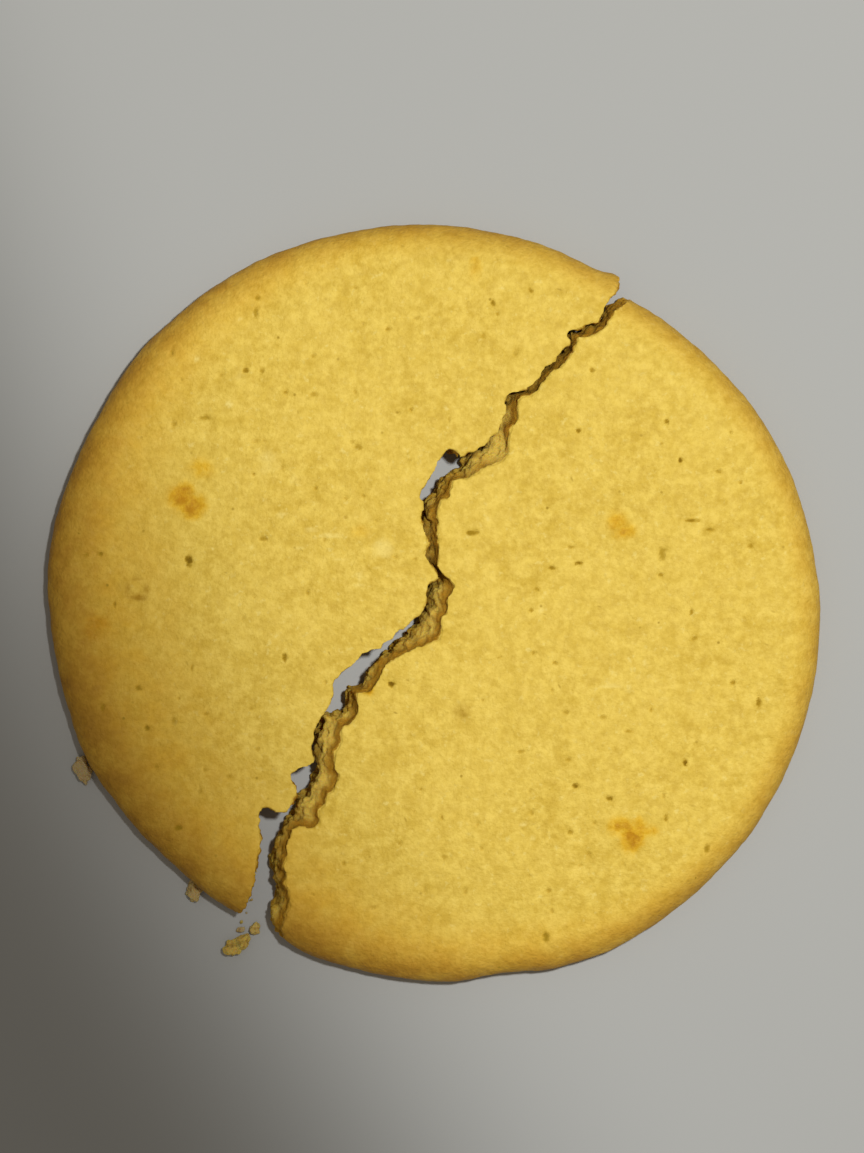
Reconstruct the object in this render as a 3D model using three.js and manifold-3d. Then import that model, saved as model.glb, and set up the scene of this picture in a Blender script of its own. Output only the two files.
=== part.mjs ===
// A round, flat egg cookie that has broken right across. Both halves lie flat, side by side, as they
// fell, with the jagged break open between them. Millimetres, +Z up, resting on z = 0.
import * as THREE from "three";
import { mergeVertices } from "three/addons/utils/BufferGeometryUtils.js";
import Module from "manifold-3d";

const wasm = await Module();
wasm.setup();

// The baked form, the same for both halves: a flat base, a rounded side and a gently crowned top.
const CENTRE_HEIGHT = 5.5; // top of the crown
const SHOULDER_HEIGHT = 4.7; // where the crown meets the rounded side
const SHOULDER_WIDTH = 4.2; // how far in from the rim the shoulder lies
const BELLY_HEIGHT = 1.5; // the widest line of the side
const FOOT_INSET = 0.8; // the base stops this far inside the widest line
const FOOT_TURN_HEIGHT = 0.6; // where the side bulges out above the base
const FOOT_TURN_INSET = 0.2; // how far inside the widest line that turn lies
const SIDE_FULLNESS = 2.3; // exponent of the side's curve: 2 is an ellipse, more is squarer
const SWELL_SHARPNESS = 6; // how quickly a swelling of the rim fades towards the centre
const RINGS = 7; // rings across the crown
const SIDE_STEPS = 6; // steps up the shoulder
const AROUND = 120; // segments round the rim

// Low waves of the baked top: [length along X, length along Y, start], each this high.
const WAVE_HEIGHT = 0.07;
const WAVES = [
  [27, 32, 0.6],
  [48, 48, 1.9],
  [57, -29, 3.1],
];

// The break: upright through the crust, then out over a crumbly ledge, then steep down to the base.
const BREAK_TOWARDS_LEFT = new THREE.Vector2(-0.87, 0.49); // across the break, from right to left
const CRUST_DEPTH = 0.6; // the crust breaks upright this far down
const LEDGE_DEPTH = 1.7; // the ledge has run out by this depth
const LEDGE_SHARE = 0.74; // the share of the foot that the ledge makes
const UNDERCUT = 1.1; // how far the left half's wall stands back at the base
const CRAG = 0.3; // how far crags stand out of the broken walls
const CRAG_START = 0.2; // crags begin this far below the crust's edge
const JAG = 0.16; // how far the crust's broken edge wanders between its corners
const JAG_LENGTH = 1.1; // longest straight stretch of that edge
const WALL_STEP = 0.78; // height of one row of crags
const GAP = 0.35; // the halves stay this far apart where they nearly touch
const BLOCK_FLOOR = -1.2; // the cutting blocks run from below the base
const BLOCK_ROWS = 10; // to above the crown, in this many rows
const REACH = 60; // and this far out past the rim

// Each half: its own rim circle, and the places where that rim swells or is worn, as
// [degrees round from +X, how far out, degrees wide].
const LEFT_HALF = {
  name: "left_half",
  colour: 0xe0bd62,
  centre: [-1.38, 0.93],
  radius: 36.86,
  swells: [
    [56.5, 0.85, 3],
    [100, -0.12, 7],
    [153, -0.28, 9],
    [175, 0.3, 9],
    [205, 0.25, 6],
    [227, -0.26, 9],
  ],
};
const RIGHT_HALF = {
  name: "right_half",
  colour: 0xe4c266,
  centre: [2.33, -1.63],
  radius: 36.35,
  swells: [
    [-113, 0.28, 6],
    [-83, -0.7, 6],
    [-64, 0.15, 6],
    [27, 0.08, 12],
    [48, -0.1, 6],
  ],
};

// Corners of the crust's broken edge on the left half, from the rim at the top right to the rim at
// the bottom left.
const LEFT_EDGE = [
  [18.8, 32.6], [18.0, 30.6], [16.4, 27.8], [13.4, 26.9], [13.7, 25.6], [12.9, 25.2], [12.4, 24.2],
  [11.0, 23.0], [10.7, 22.2], [9.4, 21.2], [7.3, 20.6], [7.0, 19.9], [7.3, 19.2], [6.7, 17.1],
  [5.2, 15.6], [2.6, 14.3], [2.5, 15.2], [1.6, 15.0], [0.6, 13.9], [-1.1, 11.3], [-1.3, 10.7],
  [-0.9, 9.2], [-1.1, 8.2], [-0.4, 5.8], [-0.8, 4.8], [0.6, 2.5], [-0.3, 1.9], [-0.8, -0.6],
  [-2.6, -2.5], [-5.3, -4.5], [-6.8, -4.9], [-9.8, -7.8], [-9.8, -9.1], [-11.3, -11.9],
  [-12.1, -14.2], [-11.8, -15.7], [-12.3, -16.3], [-14.0, -16.8], [-13.4, -19.0], [-14.4, -20.9],
  [-15.5, -20.9], [-16.2, -20.2], [-17.1, -20.4], [-17.5, -26.4], [-18.1, -29.4], [-18.8, -30.8],
];

// The same corners on the right half, and how far the foot of its wall stands out below each one.
const RIGHT_EDGE = [
  [19.5, 30.1, 0.5], [18.1, 29.3, 0.7], [17.1, 27.1, 1.1], [16.7, 27.4, 1.2], [15.3, 26.3, 1.3],
  [14.6, 26.4, 1.3], [13.4, 24.3, 0.9], [12.6, 23.4, 0.8], [11.3, 22.6, 0.8], [10.4, 21.1, 0.9],
  [8.4, 20.1, 1.1], [8.2, 17.9, 1.9], [7.7, 16.8, 2.4], [7.6, 15.0, 2.9], [6.9, 13.8, 2.9],
  [5.0, 13.4, 2.2], [4.0, 12.6, 1.4], [2.0, 12.2, 1.0], [1.6, 10.4, 1.3], [0.8, 10.2, 1.2],
  [0.4, 9.4, 1.5], [0.5, 5.5, 1.8], [0.3, 3.5, 1.7], [2.1, 1.8, 2.3], [1.4, 0.3, 2.4],
  [1.5, -1.2, 2.4], [0.8, -1.4, 2.3], [0.7, -3.4, 2.6], [-0.8, -4.2, 2.2], [-3.1, -5.3, 1.3],
  [-4.6, -6.2, 1.1], [-6.2, -9.0, 1.4], [-7.5, -8.9, 1.1], [-7.6, -11.8, 1.5], [-8.9, -12.3, 2.4],
  [-9.1, -14.2, 2.9], [-9.5, -14.6, 2.7], [-9.8, -16.6, 2.4], [-9.1, -17.3, 2.8],
  [-9.9, -18.9, 2.4], [-10.5, -18.8, 2.0], [-10.7, -20.1, 2.3], [-11.3, -20.6, 2.7],
  [-11.3, -22.1, 2.9], [-14.1, -22.4, 1.1], [-14.5, -24.3, 1.2], [-15.0, -26.4, 1.3],
  [-14.6, -26.9, 1.5], [-14.2, -30.1, 1.9], [-15.1, -32.7, 1.3], [-14.2, -34.1, 0.6],
];

// Past the rim the cutting blocks run on through these corners, right round their own half.
const LEFT_FAR = [[-22, -38], [-REACH, -REACH], [-REACH, REACH], [23, 41]];
const RIGHT_FAR = [[-12, -42], [REACH, -REACH], [REACH, REACH], [24, 39]];

// Seeds of the jags and the crags.
const LEFT_SEEDS = { jags: 11, crags: 37 };
const RIGHT_SEEDS = { jags: 23, crags: 53 };

// The same random numbers each time, from -1 to 1.
function seededRandom(seed) {
  let state = seed;
  return () => {
    state = (state + 0x6d2b79f5) | 0;
    let mixed = Math.imul(state ^ (state >>> 15), 1 | state);
    mixed = (mixed + Math.imul(mixed ^ (mixed >>> 7), 61 | mixed)) ^ mixed;
    return 2 * (((mixed ^ (mixed >>> 14)) >>> 0) / 2 ** 32) - 1;
  };
}

// Height of the baked top at a distance from the half's centre.
function topHeight(half, distance) {
  const shoulder = half.radius - SHOULDER_WIDTH;
  if (distance <= shoulder)
    return CENTRE_HEIGHT - (CENTRE_HEIGHT - SHOULDER_HEIGHT) * (distance / shoulder) ** 2;
  const out = Math.min(1, (distance - shoulder) / SHOULDER_WIDTH);
  const rise = (1 - out ** SIDE_FULLNESS) ** (1 / SIDE_FULLNESS);
  return BELLY_HEIGHT + (SHOULDER_HEIGHT - BELLY_HEIGHT) * rise;
}

// How far the rim stands out of its circle in one direction.
function rimSwell(half, degrees) {
  let out = 0;
  for (const [at, height, width] of half.swells) {
    const away = THREE.MathUtils.euclideanModulo(degrees - at + 180, 360) - 180;
    out += height * Math.exp(-((away / width) ** 2));
  }
  return out;
}

// How far the waves of the baked top lift it at one place.
function topLift(x, y) {
  const turn = 2 * Math.PI;
  return WAVES.reduce(
    (lift, [alongX, alongY, start]) =>
      lift + WAVE_HEIGHT * Math.sin((turn * x) / alongX + (turn * y) / alongY + start),
    0,
  );
}

// Half a section through the baked form, from the middle of the base round to the middle of the top.
function sideProfile(half) {
  const { radius } = half;
  const shoulder = radius - SHOULDER_WIDTH;
  const profile = [
    new THREE.Vector2(0, 0),
    new THREE.Vector2(radius - FOOT_INSET, 0),
    new THREE.Vector2(radius - FOOT_TURN_INSET, FOOT_TURN_HEIGHT),
  ];
  for (let i = 0; i <= SIDE_STEPS; i++) {
    const angle = ((i / SIDE_STEPS) * Math.PI) / 2;
    const out = shoulder + SHOULDER_WIDTH * Math.cos(angle) ** (2 / SIDE_FULLNESS);
    profile.push(new THREE.Vector2(out, topHeight(half, out)));
  }
  for (let i = RINGS - 1; i >= 0; i--) {
    const out = (shoulder * i) / RINGS;
    profile.push(new THREE.Vector2(out, topHeight(half, out)));
  }
  return profile;
}

// One half's whole baked form, before the break takes the rest away.
function bakedForm(half) {
  const form = new THREE.LatheGeometry(sideProfile(half), AROUND);
  form.rotateX(Math.PI / 2);
  const place = form.getAttribute("position");
  for (let i = 0; i < place.count; i++) {
    const x = place.getX(i);
    const y = place.getY(i);
    const z = place.getZ(i);
    const share = Math.hypot(x, y) / half.radius;
    const degrees = THREE.MathUtils.radToDeg(Math.atan2(y, x));
    const grow = 1 + (rimSwell(half, degrees) * share ** SWELL_SHARPNESS) / half.radius;
    const lift = z > BELLY_HEIGHT ? topLift(x, y) * (z / CENTRE_HEIGHT) ** 2 : 0;
    place.setXYZ(i, x * grow + half.centre[0], y * grow + half.centre[1], z + lift);
  }
  return form;
}

// The broken edge with small jags between its corners. Any third number in a row is blended.
function jagged(edge, seed) {
  const random = seededRandom(seed);
  const line = [];
  edge.forEach((from, i) => {
    line.push(from);
    const to = edge[i + 1];
    if (!to) return;
    const across = [to[1] - from[1], from[0] - to[0]];
    const length = Math.hypot(across[0], across[1]);
    const pieces = Math.ceil(length / JAG_LENGTH);
    for (let k = 1; k < pieces; k++) {
      const row = from.map((value, n) => THREE.MathUtils.lerp(value, to[n], k / pieces));
      const out = (JAG * random()) / length;
      line.push([row[0] + across[0] * out, row[1] + across[1] * out, ...row.slice(2)]);
    }
  });
  return line;
}

// How much of its full run the wall has made at a depth below the crust's edge, from 0 to 1.
function wallRun(depth, crustHeight) {
  const ledge = THREE.MathUtils.smoothstep(depth, CRUST_DEPTH, LEDGE_DEPTH);
  const below = THREE.MathUtils.clamp(depth / crustHeight, 0, 1);
  return LEDGE_SHARE * ledge + (1 - LEDGE_SHARE) * below;
}

// A block that fills one side of the break. Its face follows the broken edge at the crust, and lower
// down each row of it stands out towards the left by what footOf gives, with crags on it.
function sideBlock(half, edge, far, footOf, seed) {
  const corners = [...edge, ...far].map(([x, y]) => new THREE.Vector2(x, y));
  const block = new THREE.ExtrudeGeometry(new THREE.Shape(corners), {
    depth: BLOCK_ROWS * WALL_STEP,
    steps: BLOCK_ROWS,
    bevelEnabled: false,
  });
  block.translate(0, 0, BLOCK_FLOOR);
  const spot = (x, y) => x.toFixed(3) + " " + y.toFixed(3);
  const rowAt = new Map(edge.map((row, i) => [spot(row[0], row[1]), i]));
  const random = seededRandom(seed);
  const crags = edge.map(() => Array.from({ length: BLOCK_ROWS + 1 }, random));
  const place = block.getAttribute("position");
  for (let i = 0; i < place.count; i++) {
    const x = place.getX(i);
    const y = place.getY(i);
    const z = place.getZ(i);
    const at = rowAt.get(spot(x, y));
    if (at === undefined) continue;
    const crust = topHeight(half, Math.hypot(x - half.centre[0], y - half.centre[1]));
    const depth = crust - z;
    const level = Math.round((z - BLOCK_FLOOR) / WALL_STEP);
    const rough = THREE.MathUtils.smoothstep(depth, CRAG_START, CRUST_DEPTH);
    const out = footOf(edge[at]) * wallRun(depth, crust) + CRAG * rough * crags[at][level];
    place.setXY(i, x + BREAK_TOWARDS_LEFT.x * out, y + BREAK_TOWARDS_LEFT.y * out);
  }
  return block;
}

// A closed geometry as a solid: only its corners' places count, each held once.
function solidFrom(geometry) {
  geometry.deleteAttribute("normal");
  geometry.deleteAttribute("uv");
  const merged = mergeVertices(geometry, 1e-4);
  const corners = merged.index.array;
  const faces = [];
  for (let i = 0; i < corners.length; i += 3) {
    const [a, b, c] = [corners[i], corners[i + 1], corners[i + 2]];
    if (a !== b && b !== c && c !== a) faces.push(a, b, c);
  }
  return new wasm.Manifold(
    new wasm.Mesh({
      numProp: 3,
      vertProperties: merged.attributes.position.array,
      triVerts: new Uint32Array(faces),
    }),
  );
}

// The named mesh of one half.
function meshFrom(half, solid) {
  const { numVert, numProp, vertProperties, triVerts } = solid.getMesh();
  const corners = new Float32Array(numVert * 3);
  for (let i = 0; i < numVert; i++)
    corners.set(vertProperties.subarray(i * numProp, i * numProp + 3), i * 3);
  const geometry = new THREE.BufferGeometry();
  geometry.setAttribute("position", new THREE.BufferAttribute(corners, 3));
  geometry.setIndex(new THREE.BufferAttribute(triVerts, 1));
  geometry.computeVertexNormals();
  const baked = new THREE.MeshStandardMaterial({ color: half.colour, roughness: 0.75, metalness: 0 });
  const mesh = new THREE.Mesh(geometry, baked);
  mesh.name = half.name;
  return mesh;
}

const leftEdge = jagged(LEFT_EDGE, LEFT_SEEDS.jags);
const rightEdge = jagged(RIGHT_EDGE, RIGHT_SEEDS.jags);
const leftBlock = solidFrom(
  sideBlock(LEFT_HALF, leftEdge, LEFT_FAR, () => UNDERCUT, LEFT_SEEDS.crags),
);
const rightBlock = solidFrom(
  sideBlock(RIGHT_HALF, rightEdge, RIGHT_FAR, (row) => row[2], RIGHT_SEEDS.crags),
);

// The right half's block, moved over by the gap, cuts the left half's wall clear of the right's crags.
const clearance = rightBlock.translate([
  BREAK_TOWARDS_LEFT.x * GAP,
  BREAK_TOWARDS_LEFT.y * GAP,
  0,
]);
const left = solidFrom(bakedForm(LEFT_HALF)).intersect(leftBlock).subtract(clearance);
const right = solidFrom(bakedForm(RIGHT_HALF)).intersect(rightBlock);

const cookie = new THREE.Group();
cookie.add(meshFrom(LEFT_HALF, left), meshFrom(RIGHT_HALF, right));

// The origin is the middle of the base.
const box = new THREE.Box3().setFromObject(cookie);
const middle = box.getCenter(new THREE.Vector3());
cookie.position.set(-middle.x, -middle.y, -box.min.z);

export default cookie;
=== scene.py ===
# %% [markdown]
# This lesson dresses a flat egg cookie that has snapped in two. The real cookie is a thin disc of beaten egg,
# sugar and flour, baked until its rim starts to brown. It is about 73 mm across and 5.5 mm thick. It has
# snapped right across, and its halves still lie together. The frame holds each half as an exact solid with
# flat facets. The lesson gives those solids what a camera sees: a finely grained skin with pores and browned
# spots, a crumbly broken wall, and loose crumbs.

# %% Load the frame
import math
import random

import bmesh
import bpy
import numpy as np
from mathutils import Matrix, Vector, kdtree, noise


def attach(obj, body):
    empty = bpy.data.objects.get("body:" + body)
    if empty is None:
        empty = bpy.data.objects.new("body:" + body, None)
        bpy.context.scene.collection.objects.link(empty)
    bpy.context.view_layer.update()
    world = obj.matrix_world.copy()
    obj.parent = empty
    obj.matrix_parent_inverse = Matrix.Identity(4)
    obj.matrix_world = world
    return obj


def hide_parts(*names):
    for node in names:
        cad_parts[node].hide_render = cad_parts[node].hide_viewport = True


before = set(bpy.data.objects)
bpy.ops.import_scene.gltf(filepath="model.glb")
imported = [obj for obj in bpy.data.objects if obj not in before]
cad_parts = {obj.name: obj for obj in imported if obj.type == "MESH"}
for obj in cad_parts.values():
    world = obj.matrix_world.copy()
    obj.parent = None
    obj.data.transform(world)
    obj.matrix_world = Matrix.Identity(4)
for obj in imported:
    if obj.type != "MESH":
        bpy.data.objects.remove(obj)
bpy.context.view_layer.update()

MM = 0.001
scene = bpy.context.scene
print("halves in the frame:", sorted(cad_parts))

# %% [markdown]
# Both halves were one form before they snapped: a flat base, a rounded side and a gently crowned top. It
# wasn't quite round either, so each half has its own centre, radius and swellings of the rim. They could be
# measured from the mesh, but plain numbers are easier to read and to change. All are in millimetres.

# %% The smooth baked form
CENTRE_HEIGHT = 5.5
SHOULDER_HEIGHT = 4.7
SHOULDER_WIDTH = 4.2
BELLY_HEIGHT = 1.5
FOOT_HEIGHTS = (0.0, 0.6, 1.5)
FOOT_INSETS = (0.8, 0.2, 0.0)
SIDE_FULLNESS = 2.3
# How quickly a swelling of the rim dies away towards the middle.
SWELL_SHARPNESS = 6
WAVE_HEIGHT = 0.07
# Each low wave of the top: its length along x and along y, and where it starts.
WAVES = ((27, 32, 0.6), (48, 48, 1.9), (57, -29, 3.1))
# How far both halves were moved together, to put the origin under the middle of the whole.
ORIGIN_SHIFT = np.array([-0.103, 0.056])
# Each swelling of the rim: towards which degree, how far out and how many degrees wide.
HALVES = {
    "left_half": {
        "centre": np.array([-1.38, 0.93]) + ORIGIN_SHIFT,
        "radius": 36.86,
        "swells": ((56.5, 0.85, 3), (100, -0.12, 7), (153, -0.28, 9), (175, 0.3, 9), (205, 0.25, 6),
                   (227, -0.26, 9)),
    },
    "right_half": {
        "centre": np.array([2.33, -1.63]) + ORIGIN_SHIFT,
        "radius": 36.35,
        "swells": ((-113, 0.28, 6), (-83, -0.7, 6), (-64, 0.15, 6), (27, 0.08, 12), (48, -0.1, 6)),
    },
}
for name, half in HALVES.items():
    print(f"{name}: {2 * half['radius']:.1f} mm across with {len(half['swells'])} swellings of its rim")

# %% [markdown]
# The skin differs from the crumb in colour and relief, so every point of the mesh has to know how far it is
# from the baked skin. Painting that by hand would also work, but a rule stays right wherever the break runs.
# It undoes the swellings and waves, goes straight out to the plain form and puts them back.

# %% How deep a point lies under the skin
NOT_NOUGHT = 1e-6


def smoothstep(value, low, high):
    """Goes softly from 0 at the low value to 1 at the high one."""
    share = np.clip((value - low) / (high - low), 0, 1)
    return share * share * (3 - 2 * share)


def rim_growth(half, out, share):
    """How much wider than its circle the form is, out in one direction."""
    degrees = np.degrees(np.arctan2(out[:, 1], out[:, 0]))
    swell = np.zeros(len(out))
    for at, height, width in half["swells"]:
        away = (degrees - at + 180) % 360 - 180
        swell += height * np.exp(-((away / width) ** 2))
    return 1 + swell * share**SWELL_SHARPNESS / half["radius"]


def top_lift(place):
    """How far the low waves of the top lift it."""
    lift = np.zeros(len(place))
    for along_x, along_y, start in WAVES:
        lift += WAVE_HEIGHT * np.sin(2 * math.pi * (place[:, 0] / along_x + place[:, 1] / along_y) + start)
    return lift


def skin_point(half, place):
    """The point of the smooth baked skin that lies straight out from each place."""
    out = place[:, :2] - half["centre"]
    reach = np.hypot(out[:, 0], out[:, 1]) + 1e-9
    grow = rim_growth(half, out, reach / half["radius"])
    lift = top_lift(place - np.append(ORIGIN_SHIFT, 0)) * (place[:, 2] / CENTRE_HEIGHT) ** 2
    lift[place[:, 2] < BELLY_HEIGHT] = 0
    reach_0 = reach / grow
    height_0 = place[:, 2] - lift
    shoulder = half["radius"] - SHOULDER_WIDTH
    crown = CENTRE_HEIGHT - (CENTRE_HEIGHT - SHOULDER_HEIGHT) * (reach_0 / shoulder) ** 2
    across = np.clip((reach_0 - shoulder) / SHOULDER_WIDTH, NOT_NOUGHT, None)
    up = np.clip((height_0 - BELLY_HEIGHT) / (SHOULDER_HEIGHT - BELLY_HEIGHT), NOT_NOUGHT, None)
    size = (across**SIDE_FULLNESS + up**SIDE_FULLNESS) ** (1 / SIDE_FULLNESS)
    foot = half["radius"] - np.interp(height_0, FOOT_HEIGHTS, FOOT_INSETS)
    on_crown = reach_0 <= shoulder
    on_foot = ~on_crown & (height_0 <= BELLY_HEIGHT)
    new_reach = shoulder + SHOULDER_WIDTH * across / size
    new_height = BELLY_HEIGHT + (SHOULDER_HEIGHT - BELLY_HEIGHT) * up / size
    new_reach = np.where(on_crown, reach_0, np.where(on_foot, foot, new_reach))
    new_height = np.where(on_crown, crown, np.where(on_foot, height_0, new_height))
    spread = (new_reach * grow / reach)[:, None]
    return np.column_stack([out * spread + half["centre"], new_height + lift])


def under_skin(half, place):
    """How deep each place lies under the baked skin."""
    return np.linalg.norm(skin_point(half, place) - place, axis=1)


def skin_depth(half, place):
    """How deep each place lies under the skin or above the base, whichever is nearer."""
    return np.minimum(under_skin(half, place), np.abs(place[:, 2]))


middle = np.array([[10.0, 0.0, 2.5]])
depth = float(under_skin(HALVES["right_half"], middle)[0])
print(f"a point inside the right half lies {depth:.1f} mm under the skin")

# %% [markdown]
# Small bubbles burst in the skin while it baked and left dark pores, some drawn out into streaks. Sugar
# that lay on the surface browned in a few soft-edged spots. Pale flecks are partly sugar that stayed pale
# where it didn't melt and partly a painted sheen, and a wide olive band along the top rim is painted shade.
# At one place a flake of crust came off. They could be scattered at random, but here they are listed one by
# one where the cookie has them. They come before the mesh, because the pores need smaller faces than the
# rest.

# %% Where the pores and browned spots are
# Each pore: x, y, how wide, how high, how dark.
PORES = (
    (-24.3, 4.2, 0.85, 1.05, 0.88), (9.6, 31.0, 0.6, 0.5, 0.6), (24.4, 14.2, 0.5, 0.55, 0.88),
    (24.9, -15.8, 0.4, 0.7, 0.95), (14.0, -18.1, 0.6, 0.45, 0.82), (14.3, 4.0, 0.9, 0.5, 0.85),
    (17.4, -19.3, 0.7, 0.55, 0.72), (25.6, 8.2, 1.5, 0.36, 0.75), (27.3, 7.3, 0.8, 0.3, 0.65),
    (22.6, 5.0, 0.8, 1.5, 0.52), (22.5, 2.8, 0.6, 0.38, 0.62), (31.4, 5.7, 0.6, 0.5, 0.54),
    (13.6, 5.6, 0.8, 0.32, 0.55), (25.5, -0.9, 0.4, 0.8, 0.6), (-4.2, -8.0, 0.75, 0.6, 0.92),
    (29.6, -7.9, 0.55, 0.5, 0.6), (32.2, -9.8, 0.42, 1.4, 0.66), (25.8, -3.5, 0.6, 0.5, 0.5),
    (14.3, 17.1, 0.6, 0.45, 0.74), (23.1, 18.0, 0.6, 0.6, 0.66), (15.7, 23.1, 0.6, 0.65, 0.6),
    (28.2, 13.1, 0.6, 0.38, 0.5), (30.4, 12.0, 0.4, 0.55, 0.5), (29.5, 17.0, 0.45, 0.45, 0.5),
    (22.5, 15.8, 0.45, 0.35, 0.45), (5.8, 29.8, 0.6, 0.6, 0.7), (-4.6, 27.2, 0.55, 0.45, 0.54),
    (-17.7, 28.8, 0.5, 1.2, 0.54), (-17.5, 30.3, 0.6, 0.5, 0.54), (-18.7, 23.1, 0.65, 0.45, 0.7),
    (-17.1, 23.1, 0.5, 0.5, 0.48), (-14.7, 20.9, 0.5, 0.5, 0.54), (-22.7, 18.4, 1.2, 0.45, 0.5),
    (-17.9, 12.8, 0.45, 0.45, 0.5), (-17.0, 6.4, 1.0, 0.42, 0.54), (3.8, 7.0, 1.2, 0.55, 0.68),
    (11.5, 3.5, 1.0, 0.4, 0.7), (-14.8, -5.3, 0.48, 1.05, 0.68), (-25.4, -22.3, 0.8, 0.6, 0.62),
    (-28.5, -12.4, 0.6, 0.55, 0.66), (-33.1, 4.9, 0.7, 0.55, 0.62), (-34.5, 4.8, 0.55, 0.5, 0.54),
    (-29.3, -8.4, 0.7, 0.55, 0.55), (-25.3, -9.4, 0.4, 0.5, 0.4), (-22.6, -11.0, 0.6, 0.4, 0.45),
    (-27.6, -16.2, 0.55, 0.45, 0.42), (-22.7, -16.5, 0.55, 0.5, 0.48), (-17.5, -14.5, 0.45, 0.45, 0.38),
    (19.3, -12.7, 0.9, 0.35, 0.5), (8.6, -14.7, 0.9, 0.42, 0.5), (23.0, -21.3, 0.35, 0.8, 0.64),
    (27.1, -24.4, 0.5, 1.1, 0.6), (15.4, -24.9, 0.5, 0.5, 0.38), (11.4, -28.5, 0.55, 0.4, 0.5),
    (11.7, -30.5, 0.4, 0.5, 0.45), (11.1, -33.2, 0.75, 1.1, 0.64), (-3.4, -23.8, 0.5, 0.45, 0.4),
    (-8.9, -25.8, 0.55, 0.45, 0.44), (10.2, 1.4, 0.55, 0.5, 0.52), (12.0, -5.9, 0.55, 0.45, 0.5),
    (-7.5, 15.5, 0.9, 0.7, 0.5), (-8.1, 16.0, 0.5, 0.5, 0.35), (-11.7, 11.4, 0.4, 0.4, 0.5),
    (-8.8, 8.5, 0.5, 0.5, 0.45), (-10.8, 6.3, 0.45, 0.5, 0.4), (-3.8, 4.6, 0.6, 0.4, 0.45),
    (-12.5, 1.1, 0.4, 0.6, 0.5), (-1.9, 4.4, 0.6, 0.35, 0.45), (-2.3, 19.2, 0.5, 0.4, 0.5),
    (-7.0, 10.6, 0.6, 0.35, 0.45), (-8.7, 10.4, 0.5, 0.35, 0.4), (-5.6, 8.2, 0.5, 0.4, 0.35),
    (-2.5, 14.2, 0.7, 0.4, 0.35), (-3.6, 18.9, 0.6, 0.35, 0.4), (9.6, -0.7, 0.5, 0.45, 0.6),
    (11.0, -1.5, 0.45, 0.4, 0.35), (9.9, -4.9, 0.55, 0.35, 0.5), (6.4, -5.4, 0.5, 0.35, 0.4),
    (11.7, -8.6, 0.35, 0.6, 0.4), (4.8, -9.6, 0.4, 0.4, 0.4), (13.1, -10.8, 0.8, 0.4, 0.5),
    (16.7, -11.3, 0.8, 0.5, 0.4), (21.5, -10.6, 0.35, 0.7, 0.5), (13.3, -15.5, 0.7, 0.45, 0.45),
    (20.1, -18.1, 0.6, 0.4, 0.4), (22.8, -19.1, 0.5, 0.6, 0.4), (9.5, -18.6, 0.4, 0.8, 0.35),
    (-26.0, 24.9, 0.6, 0.5, 0.45), (-21.1, 22.6, 0.6, 0.5, 0.4), (-25.8, 17.8, 0.6, 0.8, 0.4),
    (-17.7, 16.1, 0.9, 0.4, 0.35), (-16.7, 16.1, 0.6, 0.4, 0.4), (-18.0, 15.4, 0.6, 0.4, 0.35),
    (-15.0, 13.5, 0.7, 0.5, 0.3), (0.8, -21.2, 0.35, 0.8, 0.5), (9.7, -20.8, 0.4, 0.6, 0.45),
    (13.5, -22.7, 0.6, 0.5, 0.55), (14.5, -26.0, 0.5, 0.4, 0.35), (9.5, -27.0, 0.4, 0.5, 0.35),
    (3.1, -28.6, 0.4, 0.8, 0.4), (4.7, -24.3, 0.4, 0.5, 0.35), (1.0, -25.2, 0.6, 0.5, 0.4),
    (15.9, -21.8, 0.4, 0.4, 0.4), (-1.3, -18.4, 0.35, 0.35, 0.45), (-2.0, -20.6, 0.4, 0.4, 0.35),
    (-6.0, -30.2, 0.8, 0.4, 0.35), (-12.0, -28.9, 0.7, 0.4, 0.4), (-0.9, -28.5, 0.5, 0.8, 0.35),
    (4.3, -22.0, 0.5, 0.35, 0.4), (6.3, 28.7, 0.4, 0.6, 0.5), (-1.7, 28.3, 0.9, 0.5, 0.35),
    (-7.0, 27.7, 0.35, 0.5, 0.4), (4.9, 26.5, 0.5, 0.4, 0.4), (8.1, 24.8, 0.5, 0.8, 0.4),
    (-12.0, 24.5, 0.5, 0.5, 0.4), (-11.9, 20.7, 0.9, 0.5, 0.45), (-7.8, 21.0, 0.5, 0.6, 0.4),
    (1.5, 18.2, 0.4, 0.6, 0.4), (-12.7, 31.7, 0.5, 0.4, 0.35), (-7.8, 31.3, 0.5, 0.35, 0.35),
    (-24.0, -6.4, 0.35, 0.8, 0.5), (-25.8, -11.7, 0.7, 1.0, 0.4), (-20.4, -17.2, 0.6, 0.4, 0.4),
    (-32.9, -10.3, 0.5, 0.8, 0.5), (-31.7, -0.1, 0.35, 0.7, 0.5), (-18.9, -1.4, 0.6, 0.6, 0.35),
    (-17.8, 0.6, 0.4, 0.4, 0.35), (-10.8, -7.8, 0.35, 0.6, 0.4), (-18.1, -10.4, 0.6, 0.4, 0.35),
    (-23.2, -18.5, 0.5, 1.2, 0.35),
)
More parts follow.
